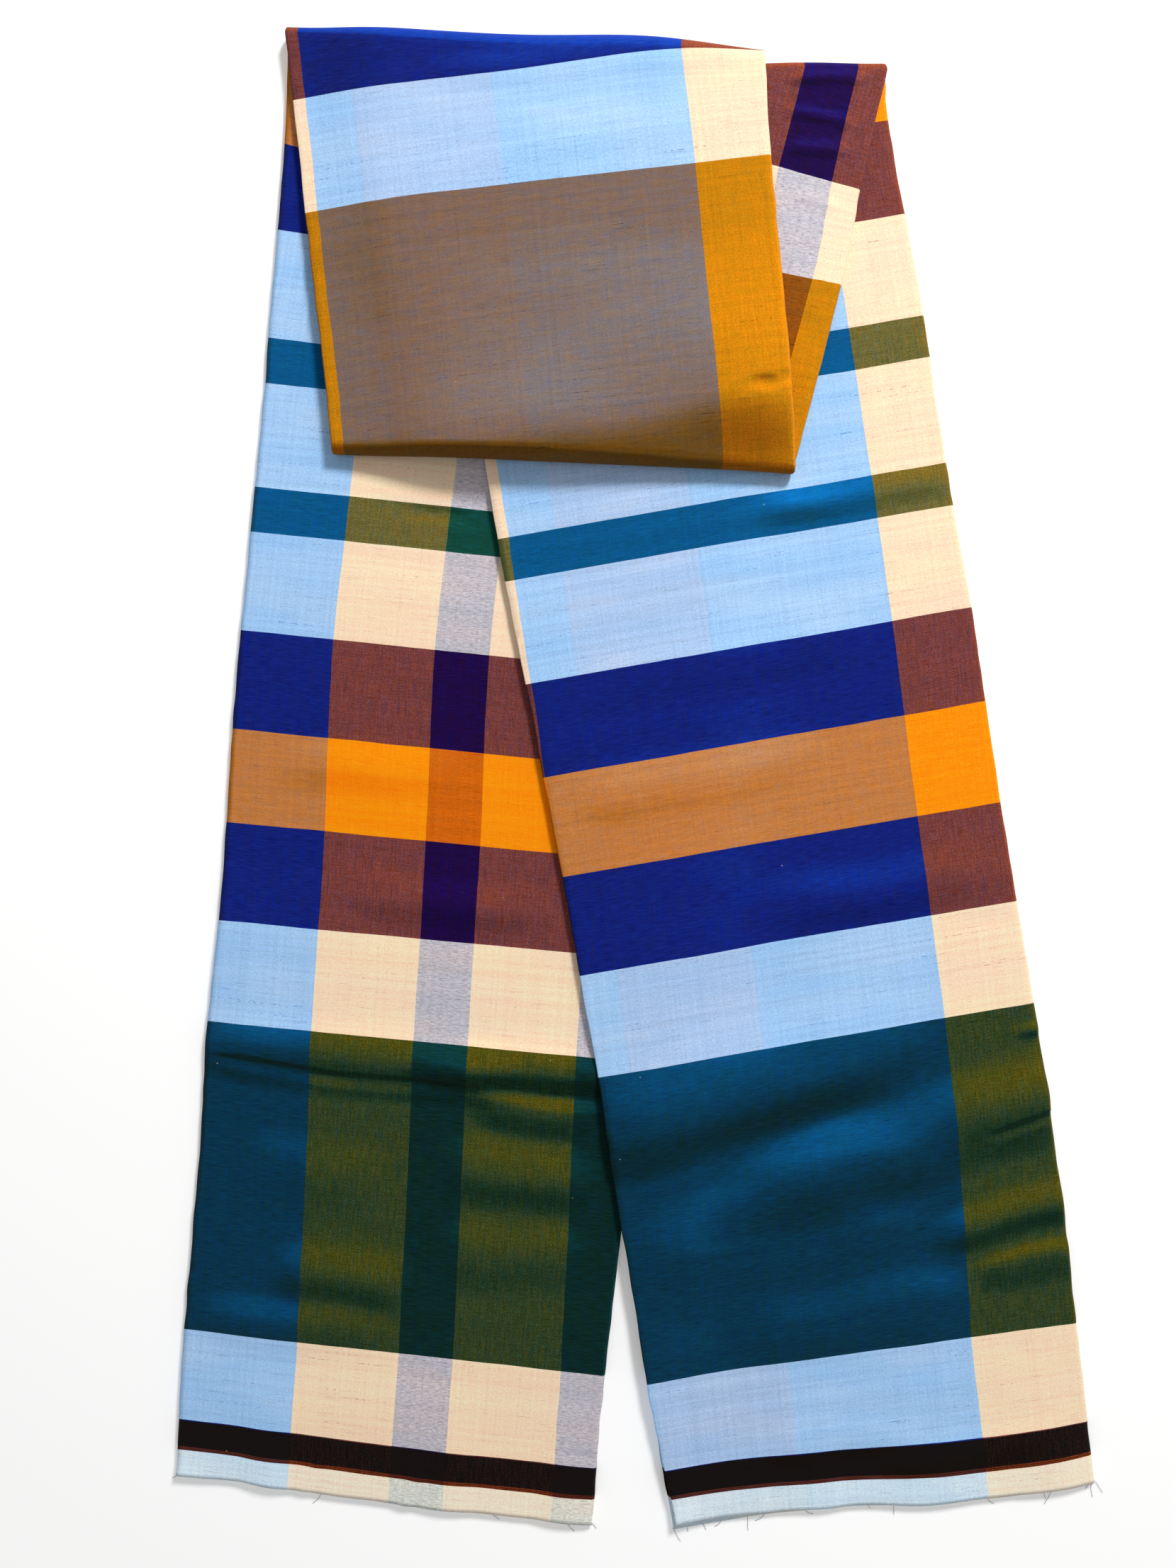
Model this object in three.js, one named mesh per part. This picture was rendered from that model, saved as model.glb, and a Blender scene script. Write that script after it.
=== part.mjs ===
import * as THREE from 'three';

// A lungi: one unstitched length of checked cotton, folded four deep into a long band.
// The band lies flat in an upturned V, and its middle is folded down over the top as a flap.
// Millimetres, +Z up. The origin is under the middle of the outline, on the surface it lies on.

const clothWall = 1.0;
const seamGap = 0.3;
const restGap = 0.8;
const bandThickness = 4 * clothWall + 3 * seamGap;
const half = bandThickness / 2;
const bandPitch = bandThickness + restGap;

const stepsAcross = 10;
const stepsRoundFold = 6;
const stepsRoundEdge = 6;
const stepsRoundSelvedge = 3;
const turnedIn = 16;
const fallStart = 6;
const fallLength = 90;
const clearOfFold = 24;
const insideFold = 11;

// How far each raw end's bottom layer stands out past its top layer.
const rawEndStep = { leftLeg: 2, rightLeg: 7 };

// Each row is a line across the band: its left and right edge points, and the number of
// sections up to the next row. The legs' rows follow the weft stripes, from raw end to fold.
const leftLegRows = [
  { leftX: -303, leftY: -458, rightX: -29, rightY: -490, steps: 1 },
  { leftX: -298, leftY: -362, rightX: -20, rightY: -393, steps: 1 },
  { leftX: -289, leftY: -262, rightX: -9, rightY: -293, steps: 6 },
  { leftX: -282, leftY: -157, rightX: 2, rightY: -184, steps: 1 },
  { leftX: -270, leftY: -28, rightX: 14, rightY: -55, steps: 1 },
  { leftX: -261, leftY: 101, rightX: 24, rightY: 72, steps: 1 },
  { leftX: -245, leftY: 261, rightX: 46, rightY: 231, steps: 2 },
  { leftX: -232, leftY: 420, rightX: 71, rightY: 390, steps: 2 },
];
const topLeftFold = { leftX: -229.5, leftY: 495.5, rightX: 84, rightY: 477.5, steps: 2 };
const frontFlapRows = [
  { leftX: -216, leftY: 373, rightX: 88, rightY: 407, steps: 4 },
];
const bottomFold = { leftX: -198.5, leftY: 216, rightX: 103.5, rightY: 202.5, steps: 3 };
const underFlapRows = [
  { leftX: -168, leftY: 352, rightX: 135, rightY: 327, steps: 3 },
];
const topRightFold = { leftX: -144, leftY: 462, rightX: 165.5, rightY: 474.5, steps: 2 };
const rightLegRows = [
  { leftX: -130, leftY: 385, rightX: 168, rightY: 437, steps: 1 },
  { leftX: -119, leftY: 320, rightX: 179, rightY: 374, steps: 2 },
  { leftX: -106, leftY: 254, rightX: 191, rightY: 307, steps: 2 },
  { leftX: -90, leftY: 158, rightX: 207, rightY: 210, steps: 1 },
  { leftX: -72, leftY: 64, rightX: 223, rightY: 116, steps: 1 },
  { leftX: -48, leftY: -64, rightX: 242, rightY: -15, steps: 2 },
  { leftX: -25, leftY: -193, rightX: 264, rightY: -145, steps: 5 },
  { leftX: -9, leftY: -294, rightX: 280, rightY: -255, steps: 3 },
  { leftX: 8, leftY: -396, rightX: 292, rightY: -358, steps: 1 },
  { leftX: 26, leftY: -487, rightX: 303, rightY: -460, steps: 0 },
];

// The largest creases, as soft ridges in the layer on top: where they run, how wide and how high.
const ridges = {
  leftLeg: [
    { fromX: -268, fromY: -172, toX: -52, toY: -202, spread: 24, rise: 3.2 },
    { fromX: -250, fromY: -250, toX: -60, toY: -270, spread: 26, rise: 1.3 },
  ],
  frontFlap: [
    { fromX: -150, fromY: 250, toX: 70, toY: 236, spread: 40, rise: 1.2 },
  ],
  underFlap: [],
  rightLeg: [
    { fromX: 6, fromY: -262, toX: 232, toY: -196, spread: 30, rise: 2.4 },
    { fromX: 30, fromY: -340, toX: 262, toY: -270, spread: 30, rise: 1.6 },
  ],
};

function smoothFall(distance) {
  const t = THREE.MathUtils.clamp((distance - fallStart) / fallLength, 0, 1);
  return t < 0.5 ? 1 - 2 * t * t : 2 * (1 - t) * (1 - t);
}

// The X of a band's edge, on one side, at a given Y.
function edgeX(rows, side, y) {
  const points = rows.map((row) => [row[`${side}X`], row[`${side}Y`]]).sort((a, b) => a[1] - b[1]);
  let i = 0;
  while (i < points.length - 2 && y > points[i + 1][1]) i += 1;
  const [x0, y0] = points[i];
  const [x1, y1] = points[i + 1];
  return x0 + ((x1 - x0) * (y - y0)) / (y1 - y0);
}

const leftLegOutline = [...leftLegRows, topLeftFold];
const rightLegOutline = [topRightFold, ...rightLegRows];
const frontFlapOutline = [topLeftFold, ...frontFlapRows, bottomFold];
const underFlapOutline = [bottomFold, ...underFlapRows, topRightFold];

// How much of each lower stretch lies beneath a place: 1 on it, falling softly to 0 beside it.
const onLeftLeg = (x, y) => smoothFall(x - edgeX(leftLegOutline, 'right', y));
const onRightLeg = (x, y) => smoothFall(edgeX(rightLegOutline, 'left', y) - x);
const onUnderFlap = (x, y) => smoothFall(edgeX(underFlapOutline, 'left', y) - x);

// The height of each stretch's middle surface.
const middleHeight = {
  leftLeg: () => half,
  rightLeg: (x, y) => half + bandPitch * onLeftLeg(x, y),
  underFlap: (x, y) => half + bandPitch * (onLeftLeg(x, y) + onRightLeg(x, y)),
  frontFlap: (x, y) => half + bandPitch * (onLeftLeg(x, y) + onRightLeg(x, y) + onUnderFlap(x, y)),
};

// Depth runs from -half, the face that is up on the left leg, to +half, the one up on the flap.
const depthSign = { leftLeg: -1, frontFlap: 1, underFlap: -1, rightLeg: 1 };

function ridgeHeight(stretch, x, y) {
  let rise = 0;
  for (const ridge of ridges[stretch]) {
    const alongX = ridge.toX - ridge.fromX;
    const alongY = ridge.toY - ridge.fromY;
    const length = Math.hypot(alongX, alongY);
    const along = ((x - ridge.fromX) * alongX + (y - ridge.fromY) * alongY) / length;
    const aside = ((x - ridge.fromX) * alongY - (y - ridge.fromY) * alongX) / length;
    const beyond = Math.max(0, -along, along - length);
    const away = Math.hypot(aside, beyond) / ridge.spread;
    if (away < 1) rise += ridge.rise * 0.5 * (1 + Math.cos(Math.PI * away));
  }
  return rise;
}

// A section across a flat stretch. A point is given by its place across, 0 to 1, and its depth.
function flatSection(stretch, line, rawEnd = null) {
  const left = new THREE.Vector2(line.leftX, line.leftY);
  const right = new THREE.Vector2(line.rightX, line.rightY);
  const sign = depthSign[stretch];
  return {
    width: left.distanceTo(right),
    place(across, depth) {
      const spot = left.clone().lerp(right, across);
      const lift = sign * depth > half - clothWall - seamGap / 2 ? ridgeHeight(stretch, spot.x, spot.y) : 0;
      if (rawEnd) spot.addScaledVector(rawEnd.outward, rawEnd.step * (0.5 - (sign * depth) / bandThickness));
      return [spot.x, spot.y, middleHeight[stretch](spot.x, spot.y) + sign * depth + lift];
    },
  };
}

// A section partway round a crosswise fold, at a given turn from the stretch before it.
// clear moves the section back along the flat, where a stretch stops short of its fold.
function foldSection(fold, turn, clear = 0) {
  const { crest, before, after, outerFace } = fold;
  const left = new THREE.Vector2(crest.leftX, crest.leftY);
  const right = new THREE.Vector2(crest.rightX, crest.rightY);
  const outward = right.clone().sub(left).normalize();
  outward.set(-outward.y * fold.outward, outward.x * fold.outward);
  return {
    width: left.distanceTo(right),
    place(across, depth) {
      const spot = left.clone().lerp(right, across);
      const inside = spot.clone().addScaledVector(outward, -insideFold);
      const from = middleHeight[before](inside.x, inside.y);
      const to = middleHeight[after](inside.x, inside.y);
      const radius = Math.abs(to - from) / 2;
      const reach = radius + outerFace * depth;
      spot.addScaledVector(outward, reach * Math.sin(turn) - radius - half - clear);
      return [spot.x, spot.y, (from + to) / 2 - fold.climb * reach * Math.cos(turn)];
    },
  };
}

const folds = {
  topLeft: {
    crest: topLeftFold,
    before: 'leftLeg',
    after: 'frontFlap',
    outerFace: 1,
    outward: 1,
    climb: 1,
  },
  bottom: {
    crest: bottomFold,
    before: 'frontFlap',
    after: 'underFlap',
    outerFace: 1,
    outward: -1,
    climb: -1,
  },
  topRight: {
    crest: topRightFold,
    before: 'underFlap',
    after: 'rightLeg',
    outerFace: -1,
    outward: 1,
    climb: -1,
  },
};

function roundFold(fold) {
  const sections = [];
  for (let i = 0; i <= stepsRoundFold; i += 1) {
    sections.push(foldSection(fold, (Math.PI * i) / stepsRoundFold));
  }
  return sections;
}

function distanceToFold(line, fold) {
  const left = Math.hypot(line.leftX - fold.leftX, line.leftY - fold.leftY);
  const right = Math.hypot(line.rightX - fold.rightX, line.rightY - fold.rightY);
  return Math.min(left, right);
}

// The sections of a flat stretch, on smooth edge lines through its rows.
function flatStretch(stretch, rows, nearFolds, rawEnd = null) {
  const leftPoints = rows.map((row) => new THREE.Vector3(row.leftX, row.leftY, 0));
  const rightPoints = rows.map((row) => new THREE.Vector3(row.rightX, row.rightY, 0));
  const leftEdge = new THREE.CatmullRomCurve3(leftPoints);
  const rightEdge = new THREE.CatmullRomCurve3(rightPoints);
  const lines = [];
  rows.forEach((row, i) => {
    const last = i === rows.length - 1;
    const steps = last ? 1 : row.steps;
    for (let k = 0; k < steps; k += 1) {
      const t = (i + k / steps) / (rows.length - 1);
      const left = leftEdge.getPoint(t);
      const right = rightEdge.getPoint(t);
      lines.push({ leftX: left.x, leftY: left.y, rightX: right.x, rightY: right.y });
    }
  });
  const clear = lines.filter((line) => nearFolds.every((fold) => distanceToFold(line, fold) > clearOfFold));
  return clear.map((line) => {
    const atRawEnd = rawEnd && line === lines[rawEnd.index(lines.length)];
    return flatSection(stretch, line, atRawEnd ? rawEnd : null);
  });
}

const downwards = new THREE.Vector2(0, -1);
const leftLegFlat = flatStretch('leftLeg', leftLegOutline, [topLeftFold], {
  index: () => 0,
  outward: downwards,
  step: rawEndStep.leftLeg,
});
const frontFlapFlat = flatStretch('frontFlap', frontFlapOutline, [topLeftFold, bottomFold]);
const underFlapFlat = flatStretch('underFlap', underFlapOutline, [bottomFold, topRightFold]);
const rightLegFlat = flatStretch('rightLeg', rightLegOutline, [topRightFold], {
  index: (count) => count - 1,
  outward: downwards,
  step: rawEndStep.rightLeg,
});

// The places across a panel between its edges, the same on every layer so that they stay parallel.
function placesAcross(width) {
  const first = turnedIn + 1;
  const last = width - half;
  const places = [];
  for (let i = 0; i < stepsAcross; i += 1) places.push(first + ((last - first) * i) / stepsAcross);
  return places;
}

function arc(centre, depth, radius, startAngle, endAngle, steps) {
  const points = [];
  for (let i = 0; i <= steps; i += 1) {
    const angle = startAngle + ((endAngle - startAngle) * i) / steps;
    points.push([centre + radius * Math.cos(angle), depth + radius * Math.sin(angle)]);
  }
  return points;
}

// The cloth that shows: the top panel, the lengthwise fold on the right, the bottom panel, and
// the edge that turns in on the left. Each point is a distance across the band and a depth.
function shownClothOutline(width) {
  const rightCentre = width - half;
  const rightwards = placesAcross(width);
  const leftwards = rightwards.toReversed();
  const innerFace = half - clothWall;
  const turnRadius = clothWall + seamGap / 2;
  const turnCentre = half - turnRadius;
  const quarter = Math.PI / 2;
  return [
    [0, -half],
    ...rightwards.map((a) => [a, -half]),
    ...arc(rightCentre, 0, half, -quarter, quarter, stepsRoundEdge),
    ...leftwards.map((a) => [a, half]),
    ...arc(turnRadius, turnCentre, turnRadius, quarter, 3 * quarter, stepsRoundSelvedge),
    [turnedIn, turnCentre - turnRadius],
    [turnedIn, turnCentre - seamGap / 2],
    ...arc(turnRadius, turnCentre, seamGap / 2, 3 * quarter, quarter, stepsRoundSelvedge),
    ...rightwards.map((a) => [a, innerFace]),
    ...arc(rightCentre, 0, innerFace, quarter, -quarter, stepsRoundEdge),
    ...leftwards.map((a) => [a, -innerFace]),
    [0, -innerFace],
  ];
}

// The two hidden layers as one rounded body, parted into its layers at the left edge.
function hiddenClothOutline(width) {
  const rightCentre = width - half;
  const rightwards = placesAcross(width);
  const face = half - clothWall - seamGap;
  const quarter = Math.PI / 2;
  return [
    [0, -face],
    ...rightwards.map((a) => [a, -face]),
    ...arc(rightCentre, 0, face, -quarter, quarter, stepsRoundEdge),
    ...rightwards.toReversed().map((a) => [a, face]),
    [turnedIn + 1, -seamGap / 2],
    [0, -seamGap / 2],
  ];
}

// Sweeps an outline through the sections and closes both ends, where each point is paired with
// the one opposite it across the wall. Every layer's faces are parted
// along the same diagonal, so that layers keep their distance where the band bends.
function sweep(sections, outlineOf) {
  const outline = sections.map((section) => outlineOf(section.width));
  const count = outline[0].length;
  const positions = [];
  sections.forEach((section, s) => {
    for (const [distance, depth] of outline[s]) {
      positions.push(...section.place(distance / section.width, depth));
    }
  });
  const indices = [];
  for (let s = 0; s < sections.length - 1; s += 1) {
    for (let i = 0; i < count; i += 1) {
      const next = (i + 1) % count;
      const a = s * count + i;
      const b = s * count + next;
      const runsRight = outline[s][i][0] <= outline[s][next][0];
      if (runsRight) indices.push(a, b, b + count, a, b + count, a + count);
      else indices.push(a, b, a + count, b, b + count, a + count);
    }
  }
  const end = (sections.length - 1) * count;
  for (let i = 0; i < count / 2 - 1; i += 1) {
    const opposite = count - 1 - i;
    indices.push(i, opposite - 1, i + 1, i, opposite, opposite - 1);
    indices.push(end + i, end + i + 1, end + opposite - 1, end + i, end + opposite - 1, end + opposite);
  }
  if (signedVolume(positions, indices) < 0) indices.reverse();
  const geometry = new THREE.BufferGeometry();
  geometry.setAttribute('position', new THREE.Float32BufferAttribute(positions, 3));
  geometry.setIndex(indices);
  geometry.computeVertexNormals();
  return geometry;
}

function signedVolume(positions, indices) {
  const corner = (i) => new THREE.Vector3().fromArray(positions, 3 * i);
  let volume = 0;
  for (let i = 0; i < indices.length; i += 3) {
    volume += corner(indices[i]).dot(corner(indices[i + 1]).cross(corner(indices[i + 2]))) / 6;
  }
  return volume;
}

function clothPiece(name, color, geometry) {
  const material = new THREE.MeshStandardMaterial({ color, roughness: 0.88, metalness: 0 });
  const mesh = new THREE.Mesh(geometry, material);
  mesh.name = name;
  return mesh;
}

const beforeTopLeft = foldSection(folds.topLeft, 0, seamGap);
const afterBottom = foldSection(folds.bottom, Math.PI, seamGap);
const afterTopRight = foldSection(folds.topRight, Math.PI, seamGap);

function leftLeg() {
  return clothPiece('left_leg', '#d9892b', sweep([...leftLegFlat, beforeTopLeft], shownClothOutline));
}

function frontFlap() {
  const sections = [...roundFold(folds.topLeft), ...frontFlapFlat, ...roundFold(folds.bottom)];
  return clothPiece('front_flap', '#7f685e', sweep(sections, shownClothOutline));
}

function underFlap() {
  const sections = [afterBottom, ...underFlapFlat, ...roundFold(folds.topRight)];
  return clothPiece('under_flap', '#c27d16', sweep(sections, shownClothOutline));
}

function rightLeg() {
  return clothPiece('right_leg', '#0f466b', sweep([afterTopRight, ...rightLegFlat], shownClothOutline));
}

function hiddenLayers() {
  const sections = [
    ...leftLegFlat,
    ...roundFold(folds.topLeft),
    ...frontFlapFlat,
    ...roundFold(folds.bottom),
    ...underFlapFlat,
    ...roundFold(folds.topRight),
    ...rightLegFlat,
  ];
  return clothPiece('hidden_layers', '#f0d8b4', sweep(sections, hiddenClothOutline));
}

const lungi = new THREE.Group();
lungi.add(leftLeg(), frontFlap(), underFlap(), rightLeg(), hiddenLayers());

export default lungi;
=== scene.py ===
import bisect
import math
import random
from collections import namedtuple

import bpy
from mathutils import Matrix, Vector, noise


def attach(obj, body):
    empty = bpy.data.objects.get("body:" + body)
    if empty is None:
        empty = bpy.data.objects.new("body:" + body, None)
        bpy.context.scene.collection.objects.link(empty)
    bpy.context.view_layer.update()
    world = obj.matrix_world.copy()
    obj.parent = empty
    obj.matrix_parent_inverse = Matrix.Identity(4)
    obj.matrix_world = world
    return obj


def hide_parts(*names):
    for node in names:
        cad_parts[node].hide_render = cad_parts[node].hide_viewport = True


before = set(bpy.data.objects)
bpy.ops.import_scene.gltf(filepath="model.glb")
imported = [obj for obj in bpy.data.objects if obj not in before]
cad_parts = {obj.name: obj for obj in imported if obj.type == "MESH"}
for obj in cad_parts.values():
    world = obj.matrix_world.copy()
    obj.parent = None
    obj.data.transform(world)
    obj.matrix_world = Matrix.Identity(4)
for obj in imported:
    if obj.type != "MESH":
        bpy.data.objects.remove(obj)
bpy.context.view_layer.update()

# The cloth
# A lungi is one length of plain-weave cotton, 2.5 m by 1.15 m, straight off the loom. Its check
# is yarn dyed: stripes in the warp cross bands in the weft. Both ends are raw and nothing is sewn.
CUT_LENGTH = 2.50
CUT_WIDTH = 1.15
CLOTH_THICKNESS = 0.0004

# A weft yarn: its colour where it crosses blue warp, how strongly the other warps show through
# it in red, green and blue, and whether it is a light yarn, through which they glow paler.
Weft = namedtuple("Weft", "colour shows light")
PALE = Weft((0.645, 0.800, 0.970), (1.00, 1.00, 1.00), 1.0)
RAW_WHITE = Weft((0.845, 0.925, 0.990), (0.50, 0.10, 0.70), 1.0)
NAVY = Weft((0.085, 0.145, 0.462), (1.05, 1.25, 0.94), 0.0)
MARIGOLD = Weft((0.765, 0.485, 0.265), (1.00, 1.00, 1.00), 0.2)
TEAL = Weft((0.030, 0.342, 0.530), (1.08, 0.62, 1.36), 0.0)
# The broad teal band's weft is the same yarn as TEAL, charted darker with painted shade.
SHADED_TEAL = Weft((0.018, 0.226, 0.316), (0.52, 0.50, 0.70), 0.0)
BRONZE = Weft((0.484, 0.396, 0.352), (0.75, 1.15, 1.40), 0.4)
BLACK = Weft((0.100, 0.075, 0.075), (0.03, 0.02, 0.02), 0.0)
BRICK = Weft((0.390, 0.190, 0.150), (0.32, 0.35, 0.30), 0.0)

# The weft bands by how far from a raw end each starts: the narrow ones there, and the broad ones
# up to the middle of the cloth. A ramp is read in 256 steps, so the narrow ones have their own.
END_BANDS = [
    (0.0000, RAW_WHITE),
    (0.0174, BRICK),
    (0.0180, BLACK),
    (0.0184, BRICK),
    (0.0190, BLACK),
    (0.0194, BRICK),
    (0.0200, BLACK),
    (0.0388, NAVY),
    (0.0394, PALE),
]
END_BANDS_LENGTH = 0.050
WEFT_BANDS = [
    (0.0000, PALE),
    (0.1005, SHADED_TEAL),
    (0.3070, PALE),
    (0.3720, NAVY),
    (0.4365, MARIGOLD),
    (0.5010, NAVY),
    (0.5655, PALE),
    (0.6325, TEAL),
    (0.6615, PALE),
    (0.7285, TEAL),
    (0.7590, PALE),
    (0.8260, NAVY),
    (0.8920, MARIGOLD),
    (0.9570, NAVY),
    (1.0215, PALE),
    (1.0935, BRONZE),
]

# A warp yarn: what it adds to a dark weft that it crosses, and to a light one.
Warp = namedtuple("Warp", "on_dark on_light")
BLUE_WARP = Warp((0.0, 0.0, 0.0), (0.0, 0.0, 0.0))
DUSTY_WARP = Warp((0.0, 0.0, 0.0), (0.035, -0.010, -0.030))
ORANGE_WARP = Warp((0.36, 0.085, -0.235), (0.400, 0.080, -0.225))
PLUM_WARP = Warp((0.048, -0.092, -0.212), (0.165, -0.018, -0.165))

# The stripes across the width, by where each starts.
WARP_STRIPES = [
    (0.0000, BLUE_WARP),
    (0.0727, ORANGE_WARP),
    (0.1427, PLUM_WARP),
    (0.1787, ORANGE_WARP),
    (0.2482, PLUM_WARP),
    (0.2842, ORANGE_WARP),
    (0.3560, BLUE_WARP),
    (0.4800, DUSTY_WARP),
    (0.5700, BLUE_WARP),
    (0.5990, ORANGE_WARP),
    (0.6690, PLUM_WARP),
    (0.7050, ORANGE_WARP),
    (0.7750, PLUM_WARP),
    (0.8110, ORANGE_WARP),
    (0.8810, BLUE_WARP),
]

# A ramp can't hold colours below nought, so what a warp adds is stored this much higher.
RAMP_MIDDLE = 0.5

# The length of one yarn over and one under, roughly the way to the window in plan, and the gamma
# of colours as seen on a screen.
YARN_PAIR = 0.0009
TOWARDS_WINDOW = (0.30, 0.95, 0.0)
SCREEN_GAMMA = 2.2

# What the yarns add to a colour or take from it, and the painted sheen and painted shade of the
# play of light, in red, green and blue.
GOLDEN_SPECK = (0.090, 0.030, 0.005)
DARK_SPECK = (0.12, 0.11, 0.09)
# Painted sheen where a dark band tilts to the window, and painted shade where a band tilts away.
PAINTED_BLUE_SHEEN = (0.0, 0.100, 0.185)
PAINTED_SHADE_LOSS = (0.02, 0.040, 0.13)
PAINTED_BROWN_SHADE_LOSS = (0.0, 0.050, 0.17)
LONE_BLUE_WARP = (-0.036, -0.006, 0.056)
LONE_GOLD_WEFT = (-0.010, -0.032, -0.056)
BROWNER = (0.024, 0.003, -0.030)
DEEPER_BLUE = (-0.034, -0.014, 0.002)
OPEN_WEFT_LOSS = (0.75, 0.70, 0.45)
LINT = (0.85, 0.78, 0.62)
BLACKEST = 0.006
PALEST = 0.99

# A kind of streak in the weave: the yarns that it runs along, how many fit end to end in a metre
# and how many side by side, how ragged it is, a seed, the range of the noise that counts, and what
# that range becomes.
Streak = namedtuple("Streak", "yarns end_to_end side_by_side ragged seed low high least most")
STREAKS = {
    "weft edge": Streak("weft", 22.0, 400.0, 2.0, 0.0, 0.0, 1.0, -0.0006, 0.0006),
    "warp edge": Streak("warp", 14.0, 700.0, 2.0, 5.0, 0.0, 1.0, -0.0007, 0.0007),
    "short speck": Streak("weft", 800.0, 1500.0, 1.0, 2.0, 0.30, 0.70, -1.0, 1.0),
    "long speck": Streak("warp", 75.0, 850.0, 3.0, 14.0, 0.30, 0.70, -0.6, 0.6),
    "dark speck": Streak("weft", 260.0, 1300.0, 2.0, 16.0, 0.44, 0.62, 0.0, 1.0),
    "lone warp": Streak("warp", 60.0, 1300.0, 1.0, 11.0, 0.35, 0.70, -0.5, 1.0),
    "lone weft": Streak("weft", 110.0, 1500.0, 1.0, 12.0, 0.35, 0.70, -0.5, 1.0),
    "brown patch": Streak("weft", 85.0, 210.0, 4.0, 13.0, 0.32, 0.68, -1.0, 1.0),
    "blue cloud": Streak("weft", 14.0, 40.0, 3.0, 15.0, 0.32, 0.68, -1.0, 1.0),
    "weft slub": Streak("weft", 55.0, 1600.0, 3.0, 1.0, 0.60, 0.80, 0.0, 0.22),
    "warp slub": Streak("warp", 18.0, 1500.0, 3.0, 3.0, 0.62, 0.82, 0.0, 0.12),
    "weft shade": Streak("weft", 3.0, 300.0, 2.0, 4.0, 0.25, 0.75, 0.965, 1.035),
    "warp shade": Streak("warp", 1.5, 420.0, 2.0, 6.0, 0.25, 0.75, 0.975, 1.025),
    "grain": Streak("weft", 700.0, 1100.0, 1.0, 7.0, 0.25, 0.75, 0.94, 1.06),
    "open weft": Streak("weft", 13.0, 900.0, 2.0, 8.0, 0.64, 0.72, 0.0, 1.0),
    "open dots": Streak("weft", 420.0, 900.0, 1.0, 9.0, 0.52, 0.60, 0.0, 1.0),
}


class Nodes:
    """Adds nodes to a material, each joined to what feeds it."""

    def __init__(self, tree):
        self.tree = tree

    def add(self, kind, inputs=(), **settings):
        node = self.tree.nodes.new(kind)
        for key, value in settings.items():
            setattr(node, key, value)
        for key, value in dict(inputs).items():
            self.feed(node.inputs[key], value)
        return node

    def feed(self, socket, value):
        if isinstance(value, bpy.types.NodeSocket):
            self.tree.links.new(value, socket)
        else:
            socket.default_value = value

    def math(self, operation, a, b=0.0, c=0.0, clamp=False):
        node = self.add("ShaderNodeMath", {0: a, 1: b, 2: c}, operation=operation, use_clamp=clamp)
        return node.outputs[0]

    def vector(self, operation, a, b=(0, 0, 0)):
        node = self.add("ShaderNodeVectorMath", {0: a, 1: b}, operation=operation)
        return node.outputs["Value" if operation == "DOT_PRODUCT" else "Vector"]

    def scaled(self, vector, factor):
        node = self.add("ShaderNodeVectorMath", {0: vector}, operation="SCALE")
        self.feed(node.inputs["Scale"], factor)
        return node.outputs["Vector"]

    def ramp(self, factor, starts, colours, length, alphas=None):
        node = self.add("ShaderNodeValToRGB", {"Fac": factor})
        ramp = node.color_ramp
        ramp.interpolation = "CONSTANT"
        while len(ramp.elements) < len(starts):
            ramp.elements.new(1.0)
        for i, element in enumerate(ramp.elements):
            element.position = starts[i] / length
            element.color = (*colours[i], alphas[i] if alphas else 1.0)
        return node.outputs["Color"], node.outputs["Alpha"]

    def bands(self, factor, bands, length):
        """The colour, show-through and lightness of the weft, from a chart of its bands."""
        starts, wefts = zip(*bands)
        colour, _ = self.ramp(factor, starts, [w.colour for w in wefts], length)
        halved = [[c / 2 for c in w.shows] for w in wefts]
        shows, light = self.ramp(factor, starts, halved, length, [w.light for w in wefts])
        return colour, shows, light

    def tints(self, factor, starts, tints, length):
        """A ramp of colours that may be below nought."""
        raised = [[c + RAMP_MIDDLE for c in tint] for tint in tints]
        colour, _ = self.ramp(factor, starts, raised, length)
        return self.vector("SUBTRACT", colour, (RAMP_MIDDLE,) * 3)

    def streaks(self, kind, across, along):
        """One kind of streak from the chart: weft streaks run across the cloth, warp ones along it."""
        streak = STREAKS[kind]
        ways = (across, along) if streak.yarns == "weft" else (along, across)
        x = self.math("MULTIPLY", ways[0], streak.end_to_end)
        y = self.math("MULTIPLY", ways[1], streak.side_by_side)
        spot = self.add("ShaderNodeCombineXYZ", {"X": x, "Y": y, "Z": streak.seed})
        inputs = {"Vector": spot.outputs[0], "Scale": 1.0, "Detail": streak.ragged}
        grain = self.add("ShaderNodeTexNoise", inputs)
        return self.between(grain.outputs["Fac"], streak.low, streak.high, streak.least, streak.most)

    def product(self, *factors):
        result = factors[0]
        for factor in factors[1:]:
            result = self.math("MULTIPLY", result, factor)
        return result

    def added(self, seen, change, share):
        """The colour seen, with a share of a change added to it."""
        node = self.add("ShaderNodeCombineXYZ", {"X": change[0], "Y": change[1], "Z": change[2]})
        return self.vector("ADD", seen, self.scaled(node.outputs[0], share))

    def taken(self, seen, change, share):
        """The colour seen, with a share of a change taken from it."""
        return self.added(seen, [-c for c in change], share)

    def mix(self, factor, a, b):
        node = self.add("ShaderNodeMix", data_type="VECTOR")
        sockets = [s for s in node.inputs if s.enabled]
        for socket, value in zip(sockets, (factor, a, b)):
            self.feed(socket, value)
        return next(s for s in node.outputs if s.enabled)

    def split(self, vector):
        return self.add("ShaderNodeSeparateXYZ", {0: vector}).outputs

    def between(self, value, low, high, to_low=0.0, to_high=1.0):
        node = self.add(
            "ShaderNodeMapRange",
            {"Value": value, "From Min": low, "From Max": high, "To Min": to_low, "To Max": to_high},
        )
        return node.outputs["Result"]


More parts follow.
